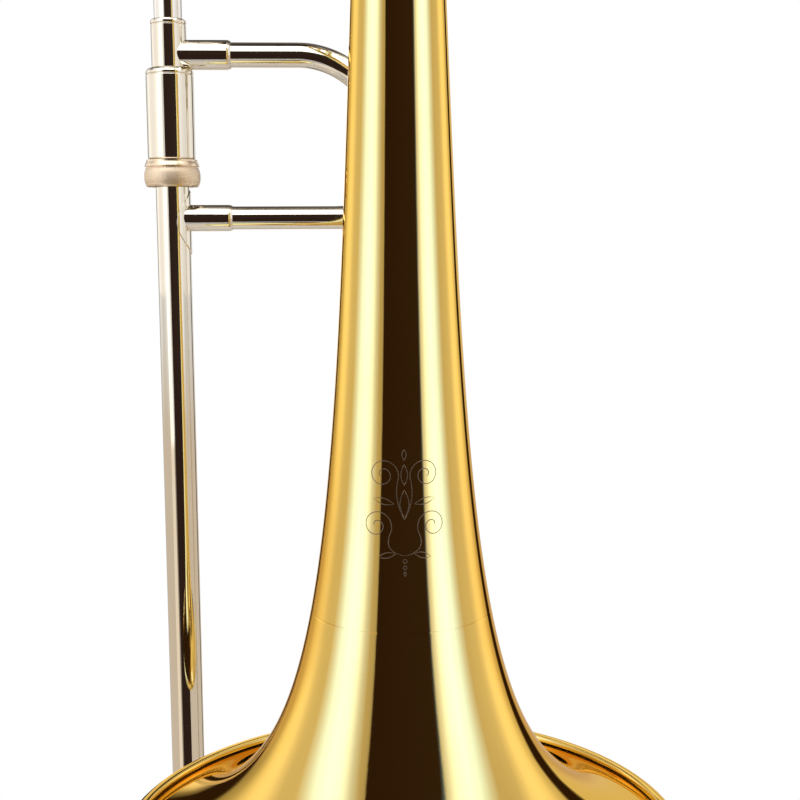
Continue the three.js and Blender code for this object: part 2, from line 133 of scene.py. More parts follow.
def grid_mesh(rows, close_rows, close_columns, caps=False):
    """A bmesh over rows of points; rows and columns may close on themselves."""
    bm = bmesh.new()
    made = [[bm.verts.new(point) for point in row] for row in rows]
    count, width = len(made), len(made[0])
    for i in range(count if close_rows else count - 1):
        for j in range(width if close_columns else width - 1):
            a, b = made[i], made[(i + 1) % count]
            k = (j + 1) % width
            bm.faces.new((a[j], a[k], b[k], b[j]))
    if caps:
        bm.faces.new(list(reversed(made[0])))
        bm.faces.new(made[-1])
    return bm


def circle(radius_at, height, matrix, sides):
    """A row of points round the matrix's Z axis; radius_at gives the radius in millimetres for an angle."""
    ring = []
    for j in range(sides):
        angle = 2 * math.pi * j / sides
        radius = radius_at(angle)
        point = Vector((radius * math.cos(angle), radius * math.sin(angle), height)) * MM
        ring.append(matrix @ point)
    return ring


def turned(outline, matrix, sides=96):
    """A bmesh of a closed outline of [radius, height] in millimetres, turned about the matrix's Z axis."""
    rows = [circle(lambda angle: radius, height, matrix, sides) for radius, height in outline]
    return grid_mesh(rows, True, True)


ROUNDED_TURN = math.radians(15)  # a corner that turns less than this stays as it is
ON_AXIS = 0.02
MOST_CUT = 0.45  # of the shorter side of a corner


def rounded(outline, radius, steps=3):
    """The closed outline with every real corner turned into an arc of about that radius."""
    points = [Vector(point) for point in outline]
    count = len(points)
    result = []
    for i, here in enumerate(points):
        before, after = points[i - 1] - here, points[(i + 1) % count] - here
        turn = math.pi - before.angle(after, math.pi)
        if turn < ROUNDED_TURN or here.x < ON_AXIS:
            result.append(tuple(here))
            continue
        cut = min(radius * math.tan(turn / 2), MOST_CUT * before.length, MOST_CUT * after.length)
        start, end = here + before.normalized() * cut, here + after.normalized() * cut
        for k in range(steps + 1):
            t = k / steps
            result.append(tuple(start * (1 - t) ** 2 + here * 2 * t * (1 - t) + end * t**2))
    return result


def swept(points, radius, sides):
    """A bmesh of a round bar along points (metres), its radius in millimetres."""
    rows = []
    tangent = (points[1] - points[0]).normalized()
    side = tangent.orthogonal().normalized()
    for i, point in enumerate(points):
        ahead = points[min(i + 1, len(points) - 1)] - points[max(i - 1, 0)]
        turn = tangent.rotation_difference(ahead.normalized())
        side = (turn @ side).normalized()
        tangent = ahead.normalized()
        up = tangent.cross(side)
        ring = []
        for j in range(sides):
            angle = 2 * math.pi * j / sides
            ring.append(point + (side * math.cos(angle) + up * math.sin(angle)) * radius * MM)
        rows.append(ring)
    return grid_mesh(rows, False, True, True)


def combined(piece, bm, operation):
    """Joins a closed bmesh to a piece (UNION) or cuts it out (DIFFERENCE), by an exact boolean."""
    tool = smooth_object(piece.name + "_tool", bm)
    modifier = piece.modifiers.new("Combine", "BOOLEAN")
    modifier.operation, modifier.solver, modifier.object = operation, "EXACT", tool
    bpy.context.view_layer.update()
    evaluated = piece.evaluated_get(bpy.context.evaluated_depsgraph_get())
    mesh = bpy.data.meshes.new_from_object(evaluated)
    piece.modifiers.clear()
    piece.data = mesh
    bpy.data.objects.remove(tool)


def united(name, bms):
    """One piece out of several closed bmeshes."""
    piece = smooth_object(name, bms[0])
    for bm in bms[1:]:
        combined(piece, bm, "UNION")
    return sharpened(piece, SHARP_AFTER_BOOLEAN)


def without(piece, bm):
    """The piece with a closed bmesh cut out of it."""
    combined(piece, bm, "DIFFERENCE")
    return sharpened(piece, SHARP_AFTER_BOOLEAN)


def rod_outline(radius, start, end):
    return [(0, start), (radius, start), (radius, end), (0, end)]


def leg_rod(leg, radius, middle, half):
    """A rod along a leg of the slide, to cut a brace's foot to the leg's curve."""
    return turned(rod_outline(radius, middle - half, middle + half), upright(leg), 96)


def upright(node_or_axis):
    """The matrix of a vertical axis, through a node's centre line or through a given point."""
    x, y = axis_of(node_or_axis) if isinstance(node_or_axis, str) else node_or_axis[:2]
    return Matrix.Translation((x, y, 0))


def along(origin, direction):
    """The matrix whose Z axis runs from origin in that direction."""
    turn = Vector((0, 0, 1)).rotation_difference(Vector(direction))
    return Matrix.Translation(origin) @ turn.to_matrix().to_4x4()


# ---------------- finishes
class Shader:
    """A short way to write a node material on one Principled shader."""

    def __init__(self, name):
        self.material = bpy.data.materials.new(name)
        self.material.use_nodes = True
        self.nodes = self.material.node_tree.nodes
        self.links = self.material.node_tree.links
        self.shader = self.nodes["Principled BSDF"]
        self.place = self.add("ShaderNodeTexCoord").outputs["Object"]

    def add(self, kind, **settings):
        node = self.nodes.new(kind)
        for key, value in settings.items():
            setattr(node, key, value)
        return node

    def set(self, **values):
        for key, value in values.items():
            self.shader.inputs[key.replace("_", " ")].default_value = value

    def link(self, source, node, socket):
        self.links.new(source, node.inputs[socket])

    def noise(self, scale, detail=3.0, stretch=(1, 1, 1), roughness=0.5):
        mapping = self.add("ShaderNodeMapping")
        mapping.inputs["Scale"].default_value = stretch
        self.link(self.place, mapping, "Vector")
        noise = self.add("ShaderNodeTexNoise")
        noise.inputs["Scale"].default_value = scale
        noise.inputs["Detail"].default_value = detail
        noise.inputs["Roughness"].default_value = roughness
        self.link(mapping.outputs[0], noise, "Vector")
        return noise.outputs["Fac"]

    def spread(self, source, low, high, start=0.3, end=0.7):
        node = self.add("ShaderNodeMapRange")
        node.inputs["From Min"].default_value, node.inputs["From Max"].default_value = start, end
        node.inputs["To Min"].default_value, node.inputs["To Max"].default_value = low, high
        self.link(source, node, "Value")
        return node.outputs["Result"]

    def sum(self, first, second):
        node = self.add("ShaderNodeMath", operation="ADD")
        for index, value in enumerate((first, second)):
            if isinstance(value, float):
                node.inputs[index].default_value = value
            else:
                self.link(value, node, index)
        return node.outputs[0]

    def mix(self, factor, first, second):
        node = self.add("ShaderNodeMix", data_type="RGBA")
        self.link(factor, node, 0)
        node.inputs[6].default_value = (*first, 1)
        node.inputs[7].default_value = (*second, 1)
        return node.outputs[2]

    def bump(self, height, strength, distance):
        node = self.add("ShaderNodeBump")
        node.inputs["Strength"].default_value = strength
        node.inputs["Distance"].default_value = distance
        self.link(height, node, "Height")
        self.link(node.outputs[0], self.shader, "Normal")


def polished(name, clean, toned, gloss, coat=0.0, edge=(1, 1, 1)):
    """Metal with handling haze, fine lengthwise wipe marks and slow changes of tone."""
    look = Shader(name)
    look.set(Metallic=1.0, Coat_Weight=coat, Coat_Roughness=0.03, Coat_IOR=1.5, Specular_Tint=(*edge, 1))
    tone = look.spread(look.noise(14, 4), 0.0, 1.0, 0.35, 0.7)
    look.link(look.mix(tone, clean, toned), look.shader, "Base Color")
    haze = look.spread(look.noise(45, 5, roughness=0.6), 0.0, gloss * 0.7, 0.45, 0.75)
    wipes = look.spread(look.noise(160, 3, stretch=(1, 1, 0.06)), 0.0, gloss * 0.5, 0.4, 0.8)
    look.link(look.sum(look.sum(haze, wipes), gloss), look.shader, "Roughness")
    look.bump(look.noise(900, 2, stretch=(1, 1, 0.1)), 0.03, 0.0001)
    return look.material


BRASS_CLEAN = (0.93, 0.62, 0.155)
BRASS_TONED = (0.90, 0.585, 0.135)
BRASS_EDGE = (0.98, 0.78, 0.42)
NICKEL_CLEAN = (0.90, 0.86, 0.75)
NICKEL_TONED = (0.86, 0.80, 0.69)
SILVER_CLEAN = (0.93, 0.92, 0.90)
SILVER_TONED = (0.90, 0.88, 0.84)
KNURLED_CLEAN = (0.90, 0.78, 0.60)  # nickel silver dulled by its knurling
KNURLED_TONED = (0.84, 0.65, 0.48)  # the brass shows through where it is worn
ENGRAVED_CLEAN = (0.42, 0.35, 0.27)  # the matt metal of an engraved line
ENGRAVED_TONED = (0.34, 0.27, 0.20)


def rubber():
    look = Shader("rubber")
    grain = look.noise(900, 4)
    look.link(look.mix(look.noise(120, 3), (0.018, 0.017, 0.016), (0.045, 0.043, 0.04)),
              look.shader, "Base Color")
    look.link(look.spread(grain, 0.55, 0.8), look.shader, "Roughness")
    look.bump(grain, 0.3, 0.0002)
    return look.material


def cork():
    look = Shader("cork")
    cells = look.add("ShaderNodeTexVoronoi")
    cells.inputs["Scale"].default_value = 1400
    look.link(look.place, cells, "Vector")
    grain = look.spread(cells.outputs["Distance"], 0.0, 1.0, 0.0, 0.7)
    look.link(look.mix(grain, (0.25, 0.13, 0.06), (0.56, 0.36, 0.19)), look.shader, "Base Color")
    look.set(Roughness=0.85)
    look.bump(grain, 0.5, 0.0002)
    return look.material


def felt():
    look = Shader("felt")
    fuzz = look.noise(2500, 6, roughness=0.8)
    look.link(look.mix(fuzz, (0.22, 0.03, 0.025), (0.45, 0.09, 0.07)), look.shader, "Base Color")
    look.set(Roughness=0.95, Sheen_Weight=0.4)
    look.bump(fuzz, 0.6, 0.0003)
    return look.material


def steel():
    look = Shader("steel")
    look.set(Metallic=1.0)
    lines = look.noise(1500, 2, stretch=(1, 1, 0.05))
    look.link(look.mix(look.noise(60, 3), (0.60, 0.59, 0.57), (0.50, 0.48, 0.46)),
              look.shader, "Base Color")
    look.link(look.spread(lines, 0.22, 0.4), look.shader, "Roughness")
    look.bump(lines, 0.15, 0.0001)
    return look.material


FINISHES = {
    "lacquered_brass": polished("lacquered_brass", BRASS_CLEAN, BRASS_TONED, 0.035, 0.08, BRASS_EDGE),
    "engraved_brass": polished("engraved_brass", ENGRAVED_CLEAN, ENGRAVED_TONED, 0.42),
    "knurled_nickel": polished("knurled_nickel", KNURLED_CLEAN, KNURLED_TONED, 0.2),
    "nickel_silver": polished("nickel_silver", NICKEL_CLEAN, NICKEL_TONED, 0.045),
    "silver_plate": polished("silver_plate", SILVER_CLEAN, SILVER_TONED, 0.03),
    "steel": steel(),
    "rubber": rubber(),
    "cork": cork(),
    "felt": felt(),
}

BRASS_SLOT = "lacquered_brass"
SLIDE_BODIES = ("inner_slide", "outer_slide", "lock_ring", "mouthpiece", "water_key")


def stand_for(piece, *nodes, finish=None):
    """Puts a finished piece in place of CAD nodes, on their body and in their slot."""
    piece.data.materials.clear()
    piece.data.materials.append(finish or FINISHES[SLOT_OF[nodes[0]]])
    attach(piece, BODY_OF[nodes[0]])
    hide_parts(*nodes)
    piece["lit_as_slide"] = BODY_OF[nodes[0]] in SLIDE_BODIES or SLOT_OF[nodes[0]] != BRASS_SLOT


def lathed(node, outline, sides=96, fillet=0.3, matrix=None):
    """Replaces a node by a rounded outline turned about its own vertical axis or the matrix's Z axis."""
    bm = turned(rounded(outline, fillet), matrix or upright(node), sides)
    stand_for(weighted(smooth_object(node + "_fine", bm)), node)


def bent(node, points, radius, sides):
    """Replaces a node by a round tube along points."""
    stand_for(smooth_object(node + "_fine", swept(points, radius, sides)), node)


# ---------------- the bell
BELL_WALL = 0.8
BEAD_SECTION = 2.0  # outer radius of the rolled edge's section
BEAD_WALL = 0.5
WIRE_GAP = 0.3
STEM_CONE = (26.69, 0.0358)  # radius at the mouth without the flare, narrowing per millimetre
FLARE_TERMS = ((35.2, 14.95), (36.99, 57.99), (3.62, 3.23))  # radius added at the mouth, fading height
BELL_STEPS = 110
BELL_CROWDING = 4.8  # how much closer the rows stand at the flare
SEAM_GROOVE = ((-0.5, 0), (-0.22, 0), (-0.12, 0.03), (0.12, 0.03), (0.22, 0), (0.5, 0))  # height, depth


def bell_radius(z):
    """The bell's outer radius in millimetres, z above the plane of its mouth."""
    return STEM_CONE[0] - STEM_CONE[1] * z + sum(s * math.exp(-z / l) for s, l in FLARE_TERMS)


def bell_slope(z):
    """The change of the bell's radius per millimetre of height."""
    return (bell_radius(z + 0.01) - bell_radius(z - 0.01)) / 0.02


def bell_wall(z, inset):
    """A point of the bell's section, inset from its outer face at height z."""
    slope = bell_slope(z)
    length = math.hypot(1, slope)
    return bell_radius(z) - inset / length, z + inset * slope / length


def bead_arc(section, start, end, steps):
    """An arc about the middle of the rolled edge's section, between two angles in degrees."""
    centre_radius = radius_of("bell_flare") - BEAD_SECTION
    angles = (math.radians(start + (end - start) * i / steps) for i in range(steps + 1))
    return [(centre_radius + section * math.cos(a), BEAD_SECTION + section * math.sin(a)) for a in angles]


def build_bell():
    top = span_of("bell_stem")[1]
    heights = []
    for i in range(BELL_STEPS + 1):
        share = math.expm1(BELL_CROWDING * i / BELL_STEPS) / math.expm1(BELL_CROWDING)
        heights.append(1 + (top - 1) * share)
    seam = span_of("bell_stem")[0]
    groove = [(seam + height, depth) for height, depth in SEAM_GROOVE]
    outside = [(z, 0) for z in heights if abs(z - seam) > 1] + groove
    back = [bell_wall(z, inset) for z, inset in sorted(outside)]
    throat = [bell_wall(z, BELL_WALL) for z in reversed(heights)]
    throat[0] = (throat[0][0], top)
    curl = bead_arc(BEAD_SECTION, -89, 190, 26)
    curl_inside = bead_arc(BEAD_SECTION - BEAD_WALL, 190, -80, 20)
    lip = [(radius_of("bell_flare") - BEAD_SECTION - 1, 0)]
    outline = throat + lip + curl + curl_inside + back
    piece = smooth_object("bell_fine", turned(outline, upright("bell_flare"), 192))
    stand_for(piece, "bell_flare", "bell_stem")
    wire = turned(bead_arc(BEAD_SECTION - BEAD_WALL - WIRE_GAP, 0, 345, 23), upright("bell_flare"), 96)
    stand_for(smooth_object("rim_wire_fine", wire), "rim_wire")


# ---------------- engraved ornament on the bell's front
ORNAMENT_Z = 126
STROKE_HALF_WIDTH = 0.24
STROKE_RIDGE = 0.05
STROKE_SUNK = 0.03
STROKE_END = 0.25  # what share of the width is left at a stroke's ends
STROKE_TAPER_STEPS = 5
STEM_PULL = 7  # how far the stem of a scroll runs straight into it
STEM_STEPS = 24
SCROLL_STEPS = 72
SCROLL_CLOSING = 0.86  # how much of its radius a scroll loses
LEAF_STEPS = 16
SCROLLS = (  # centre, outer radius, bearing where the stem joins, turns, root of the stem
    ((7.2, 12.0), 5.4, 195, 1.7, (0.0, -3.0)),
    ((9.6, -5.0), 5.4, 205, 1.6, (0.0, -15.0)),
)
MIDDLE_LEAVES = (  # ends, half width
    ((0, -2.6), (0, 7.0), 1.5), ((0, 8.4), (0, 15.5), 1.1), ((0, 16.8), (0, 20.5), 0.7),
)
SIDE_LEAVES = (((3.4, 2.2), (10.6, 4.0), 1.0), ((3.0, -14.2), (9.0, -15.6), 0.9))


def scroll_stroke(centre, radius, start, turns, root):
    """A stem that bends from its root into a spiral which closes towards its centre."""
    begin = math.radians(start)
    across, up = centre
    join = Vector((across + radius * math.cos(begin), up + radius * math.sin(begin)))
    control = join - STEM_PULL * Vector((math.sin(begin), -math.cos(begin)))
    path = []
    for i in range(STEM_STEPS):
        t = i / STEM_STEPS
        path.append((1 - t) ** 2 * Vector(root) + 2 * t * (1 - t) * control + t * t * join)
    for i in range(SCROLL_STEPS + 1):
        t = i / SCROLL_STEPS
        angle = begin - 2 * math.pi * turns * t
        reach = radius * (1 - SCROLL_CLOSING * t)
        path.append(Vector((across + reach * math.cos(angle), up + reach * math.sin(angle))))
    return path


def leaf_strokes(start, end, bulge):
    """The two bowed sides of a leaf."""
    start, end = Vector(start), Vector(end)
    across = Vector((start.y - end.y, end.x - start.x)).normalized()
    shares = [i / LEAF_STEPS for i in range(LEAF_STEPS + 1)]
    return [[start.lerp(end, t) + across * side * bulge * math.sin(math.pi * t) for t in shares]
            for side in (-1, 1)]


def ornament_strokes():
    """Two pairs of scrolls on a centre line with leaves and dots, as (across, up) paths in millimetres."""
    strokes = []
    for scroll in SCROLLS:
        path = scroll_stroke(*scroll)
        strokes += [path, [Vector((-u, z)) for u, z in path]]
    leaves = list(MIDDLE_LEAVES)
    leaves += [((0, -16.0 - 2.1 * i), (0, -17.6 - 2.1 * i), 0.7 - 0.15 * i) for i in range(3)]
    for side in (-1, 1):
        leaves += [((side * start[0], start[1]), (side * end[0], end[1]), bulge)
                   for start, end, bulge in SIDE_LEAVES]
    for leaf in leaves:
        strokes += leaf_strokes(*leaf)
    return strokes


def on_bell_front(across, up, lift):
    """A point of the bell's front, given from the ornament's middle and lifted off the metal."""
    z = ORNAMENT_Z + up
    angle = across / bell_radius(z)
    radius = bell_radius(z) + lift
    return Vector((STEM.x + radius * math.sin(angle) * MM, STEM.y - radius * math.cos(angle) * MM, z * MM))


def build_ornament():
    strokes = bmesh.new()
    for path in ornament_strokes():
        rows = []
        for i, point in enumerate(path):
            ahead = (path[min(i + 1, len(path) - 1)] - path[max(i - 1, 0)]).normalized()
            side = Vector((-ahead.y, ahead.x))
            ends = min(i, len(path) - 1 - i) / STROKE_TAPER_STEPS
            width = STROKE_HALF_WIDTH * (STROKE_END + (1 - STROKE_END) * min(1, ends))
            section = ((-width, -STROKE_SUNK), (0, STROKE_RIDGE), (width, -STROKE_SUNK))
            rows.append([on_bell_front(*(point + side * step), lift) for step, lift in section])
        ribbon = grid_mesh(rows, False, True, True)
        mesh = bpy.data.meshes.new("stroke")
        ribbon.to_mesh(mesh)
        ribbon.free()
        strokes.from_mesh(mesh)
        bpy.data.meshes.remove(mesh)
    piece = smooth_object("bell_ornament", strokes)
    piece.data.materials.append(FINISHES["engraved_brass"])
    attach(piece, BODY_OF["bell_flare"])


# ---------------- coaxial tubes and ferrules
def tube_outline(node, wall):
    """A plain tube of the node's own radius and height."""
    outer, (foot, top) = radius_of(node), span_of(node)
    return [(outer - wall, foot), (outer, foot), (outer, top), (outer - wall, top)]


BEAD_RISE = 0.45
BEAD_WIDTH = 1.6


def ferrule_outline(node, wall):
    """A thin sleeve with a raised bead round each end."""
    outer, (foot, top) = radius_of(node), span_of(node)
    body, width = outer - BEAD_RISE, BEAD_WIDTH
    return [
        (outer - wall, foot), (outer - 0.3, foot), (outer, foot + width / 2), (outer - 0.15, foot + width),
        (body, foot + width + 0.5), (body, top - width - 0.5),
        (outer - 0.15, top - width), (outer, top - width / 2), (outer - 0.3, top), (outer - wall, top),
    ]


TUBE_WALLS = {  # millimetres
    "stem_slide_tube": 0.6, "neck_slide_tube": 0.6, "tuning_leg_stem": 0.6, "tuning_leg_neck": 0.6,
    "inner_tube_mouth": 0.3, "inner_tube_bell": 0.3, "stocking_mouth": 0.4, "stocking_bell": 0.4,
    "outer_tube_mouth": 0.3, "outer_tube_bell": 0.3, "leadpipe": 0.45,
    "retaining_ring": 1.8, "barrel_felt_mouth": 2.4, "barrel_felt_bell": 2.4,
}
FERRULE_WALLS = {
    "stem_ferrule": 0.9, "neck_ferrule": 0.9, "tuning_ferrule_stem": 1.1, "tuning_ferrule_neck": 1.1,
    "bow_ferrule_mouth": 0.95, "bow_ferrule_bell": 0.95,
}


def build_tubes():
    for node, wall in TUBE_WALLS.items():
        lathed(node, tube_outline(node, wall), sides=72, fillet=min(0.12, wall * 0.4))
    for node, wall in FERRULE_WALLS.items():
        lathed(node, ferrule_outline(node, wall), sides=80, fillet=0.35)
    foot, top = span_of("neckpipe")
    wide = radius_of("neckpipe")
    narrow = wide - 1.2
    lathed("neckpipe", [(narrow - 0.6, foot), (narrow, foot), (wide, top), (wide - 0.6, top)], 72, 0.1)


def build_receiver():
    foot, top = span_of("mouthpiece_receiver")
    wide = radius_of("mouthpiece_receiver")
    lathed("mouthpiece_receiver", [
        (wide - 0.7, foot), (wide - 0.1, foot), (wide - 0.1, top - 2.4), (wide - 0.3, top - 2.2),
        (wide - 0.3, top - 2.0), (wide, top - 1.7), (wide, top - 0.8), (wide - 0.2, top - 0.3),
        (wide - 0.5, top), (wide - 0.7, top),
    ], 96, 0.15)
    foot, top = span_of("bell_receiver")
    wide = radius_of("bell_receiver")
    lathed("bell_receiver", [
        (9.9, foot), (wide - 1, foot), (wide - 1, foot + 12.8), (wide, foot + 14), (wide, foot + 18),
        (wide - 1.6, foot + 19.4), (wide - 2.2, foot + 21.5), (wide - 2.2, foot + 43),
        (wide - 1.9, foot + 44.5), (wide - 2.2, foot + 46), (wide - 3.2, foot + 50), (9.6, top), (8.6, top),
        (8.6, top - 6.5), (9.9, top - 6.5),
    ], 96, 0.5)
    foot, top = span_of("tenon")
    wide = radius_of("tenon")
    lathed("tenon", [
        (6.9, foot), (8.4, foot), (8.4, foot + 5.5), (wide, foot + 5.5), (wide, foot + 9),
        (9.6, foot + 9), (9.2, top), (8.3, top), (6.9, foot + 21.3),
    ], 80, 0.3)


KNURL_EDGE = 0.3  # the height over which the cuts grow to their full depth
RING_ROWS = 120


def knurled(node, profile, bore, pitch, depth, margin):
    """A turned ring whose outer face carries crossed diagonal cuts, clear of the lower and upper margin."""
    foot, top = span_of(node)
    turns = round(2 * math.pi * radius_of(node) / pitch)
    sides = turns * 6
    matrix = upright(node)
    made = []
    for i in range(RING_ROWS + 1):
        z = foot + (top - foot) * i / RING_ROWS
        inside = min(1, max(0, min(z - foot - margin[0], top - z - margin[1]) / KNURL_EDGE))
        lean = (z - foot) / pitch

        def radius_at(angle):
            first = abs((turns * angle / (2 * math.pi) + lean) % 1 - 0.5) * 2
            second = abs((turns * angle / (2 * math.pi) - lean) % 1 - 0.5) * 2
            return profile(z, foot, top) - depth * inside * (1 - min(first, second))

        made.append(circle(radius_at, z, matrix, sides))
    made += [circle(lambda angle: bore, z, matrix, sides) for z in (top, foot)]
    return grid_mesh(made, True, True)


def convex(widest, edge, flange):
    """The radius of a ring that bulges to `widest`, under a polished flange that slopes in to its top."""
    def radius(z, foot, top):
        shoulder = top - flange
        if z > shoulder:
            share = (z - shoulder) / flange
            return widest - 0.35 - (edge + 0.25) * share ** 1.6
        across = (2 * z - foot - shoulder) / (shoulder - foot)
        return widest - edge * abs(across) ** 2.6
    return radius


RINGS = (  # node, edge and flange of its profile, bore, pitch and depth of its cuts, their margins, finish
    ("slide_lock_ring", 1.15, 2.9, 10.9, 1.25, 0.26, (0.9, 3.1), "knurled_nickel"),
    ("barrel_ring_bell", 1.15, 2.9, 9.2, 1.25, 0.0, (0.9, 3.1), "nickel_silver"),
    ("bell_lock_nut", 0.8, 2.2, 12.8, 1.3, 0.28, (2.2, 2.6), None),
)


def build_rings():
    for node, edge, flange, bore, pitch, depth, margin, finish in RINGS:
        profile = convex(radius_of(node), edge, flange)
        ring = smooth_object(node + "_fine", knurled(node, profile, bore, pitch, depth, margin))
        stand_for(ring, node, finish=FINISHES.get(finish))


LUG_SIZE = (3, 2.4, 4)


def build_barrels():
    for side in ("mouth", "bell"):
        node = "cork_barrel_" + side
        foot, top = span_of(node)
        wide = radius_of(node)
        lathed(node, [
            (wide - 0.55, foot), (wide - 0.2, foot), (wide, foot + 0.5), (wide, top - 3.0),
            (wide - 0.28, top - 2.75), (wide - 0.28, top - 2.5), (wide, top - 2.25), (wide, top - 1.5),
            (wide - 0.35, top - 0.8), (wide - 0.95, top - 0.15), (wide - 1.8, top),
            (6.9, top), (6.9, top - 2.9), (wide - 0.55, top - 2.9),
        ], 96, 0.3)
        collar = "slide_collar_" + side
        foot, top = span_of(collar)
        outline = [(7.5, foot), (8.2, foot), (8.7, foot + 1), (8.7, top - 1), (8.2, top), (7.5, top)]
        parts = [turned(rounded(outline, 0.3), upright(MOUTH if side == "mouth" else NECK), 72)]
        if side == "mouth":
            lug = bmesh.new()
            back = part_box(collar)[1].y / MM
            place = Vector((MOUTH.x / MM, back - LUG_SIZE[1] / 2, foot + 4)) * MM
            size = Vector((*LUG_SIZE, 1 / MM)) * MM
            bmesh.ops.create_cube(lug, size=1, matrix=Matrix.Translation(place) @ Matrix.Diagonal(size))
            parts.append(lug)
        stand_for(united(collar + "_fine", parts), collar)


# ---------------- braces
INNER_BEND = 38 * MM
INNER_DROP = math.radians(50)
INNER_START = 15 * MM  # how far from the leg's axis the inner brace's tube starts
RECEIVER_SINK = 0.15  # how far the inner brace's socket goes into the receiver
SADDLE_RADIUS = 7.27  # the plates on the outer slide, inside
FLANGE_BORE = 7.12  # what is cut out of the flanges for the outer slide
RECEIVER_ROD, FLANGE_ROD = 12, 20  # half the lengths of the rods that cut the sockets
STRAIGHT_STEPS, BEND_STEPS = 20, 40
BRACE_WALL_GAP = 0.05
SOCKET_WALL = 0.7
SOCKET_ROOTS = {"inner": 3.2, "outer": 3.4}  # where a socket starts before it is cut to the leg
LENS_WRAP = 72  # degrees round the leg, to each side
LENS_THICKNESS = 0.4
LENS_SINK = 0.05  # how far the plate's inner face goes into the tube


def socket_outline(radius, bore, start, reach):
    """A brace socket: a short sleeve whose mouth is rounded down to the tube."""
    return [
        (bore, start), (radius, start), (radius, reach - 1.6), (radius - 0.14, reach - 1.1),
        (radius - 0.38, reach - 0.5), (radius - 0.64, reach), (bore, reach),
    ]


def build_inner_brace():
    low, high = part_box("inner_brace_socket")
    radius = (high.y - low.y) / 2 / MM
    z = high.z - radius * MM
    x, y = MOUTH.x, MOUTH.y
    reach = (high.x - x) / MM
    tube = (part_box("inner_brace")[1].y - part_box("inner_brace")[0].y) / 2 / MM
    outline = rounded(socket_outline(radius, tube + BRACE_WALL_GAP, SOCKET_ROOTS["inner"], reach), 0.3)
    socket = smooth_object("inner_brace_socket_fine", turned(outline, along((x, y, z), (1, 0, 0)), 80))
    receiver = leg_rod(MOUTH, radius_of("mouthpiece_receiver") - RECEIVER_SINK, z / MM, RECEIVER_ROD)
    stand_for(without(socket, receiver), "inner_brace_socket")

    start, bend_start = x + INNER_START, NECK.x - INNER_BEND
    straight = (bend_start - start) / STRAIGHT_STEPS
    points = [Vector((start + straight * i, y, z)) for i in range(STRAIGHT_STEPS + 1)]
    for i in range(1, BEND_STEPS + 1):
        angle = INNER_DROP * i / BEND_STEPS
        across, drop = INNER_BEND * math.sin(angle), INNER_BEND * (1 - math.cos(angle))
        points.append(Vector((bend_start + across, y, z - drop)))
    bent("inner_brace", points, tube, 64)


def lens_saddle(centre, side, tube_radius, low, high, reach, thickness):
    """A thin pointed-oval plate wrapped round the leg; side is +1 towards +X and -1 towards -X."""
    rows, columns = 56, 48
    made = []
    for i in range(rows + 1):
        v = -math.cos(math.pi * i / rows)
        z = (low + high) / 2 + (high - low) / 2 * v
        wrap = math.radians(reach) * (1 - v * v) + 0.004
        outer, inner = [], []
        for j in range(columns + 1):
            u = -math.cos(math.pi * j / columns)
            edge = min(1, (1 - abs(u)) * wrap * tube_radius / 0.22, (1 - abs(v)) * 12)
            lift = thickness * math.sqrt(max(0, 1 - (1 - edge) ** 2))
            for line, radius in ((outer, tube_radius + lift + 0.01), (inner, tube_radius - LENS_SINK)):
                angle = u * wrap
                point = Vector((side * radius * math.cos(angle), radius * math.sin(angle), z))
                line.append(centre + point * MM)
        made.append(outer + inner[::-1])
    return grid_mesh(made, False, True, True)


def build_outer_brace():
    low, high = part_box("outer_brace")
    radius = (high.z - low.z) / 2 / MM
    z = (low.z + high.z) / 2
    bar = rod_outline(radius, low.x / MM, high.x / MM)
    lathed("outer_brace", bar, 64, 0.2, along((0, MOUTH.y, z), (1, 0, 0)))
    bore = radius + BRACE_WALL_GAP
    for name, leg, side in (("mouth", MOUTH, 1), ("bell", NECK, -1)):
        node = "outer_brace_flange_" + name
        box_low, box_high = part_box(node)
        centre = Vector((leg.x, leg.y, z))
        reach = abs((box_high.x if side > 0 else box_low.x) - leg.x) / MM
        low, high = (box_low.z - z) / MM, (box_high.z - z) / MM
        saddle = lens_saddle(centre, side, SADDLE_RADIUS, low, high, LENS_WRAP, LENS_THICKNESS)
        outline = rounded(socket_outline(radius + SOCKET_WALL, bore, SOCKET_ROOTS["outer"], reach), 0.3)
        socket = turned(outline, along(centre, (side, 0, 0)), 72)
        flange = united(node + "_fine", [saddle, socket])
        stand_for(without(flange, leg_rod(leg, FLANGE_BORE, z / MM, FLANGE_ROD)), node)


def build_bell_braces():
    for node in ("upper_bell_brace", "lower_bell_brace"):
        low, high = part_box(node)
        z = (low.z + high.z) / 2
        radius = (high.x - low.x) / 2 / MM
        bar = rod_outline(radius, low.y / MM, high.y / MM)
        lathed(node, bar, 64, 0.4, along((STEM.x, 0, z), (0, 1, 0)))
        for end_name, leg, side in (("stem", STEM, 1), ("neck", NECK, -1)):
            foot = f"{node}_{end_name}_foot"
            f_low, f_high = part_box(foot)
            outer_y = (f_high.y if side > 0 else f_low.y) - leg.y
            reach = abs(outer_y) / MM
            surface = (bell_radius(z / MM) if end_name == "stem" else reach - 8 - 0.3) - 1.2
            plate = (f_high.x - f_low.x) / 2 / MM
            lathed(foot, [
                (0, surface - 2), (plate, surface - 2), (plate, surface + 1.4), (plate - 0.5, surface + 2.1),
                (radius + 2.0, surface + 2.6), (radius + 1.2, surface + 3.8), (radius + 1.2, reach - 0.8),
                (radius + 0.7, reach), (0, reach),
            ], 64, 0.4, along((leg.x, leg.y, z), (0, side, 0)))


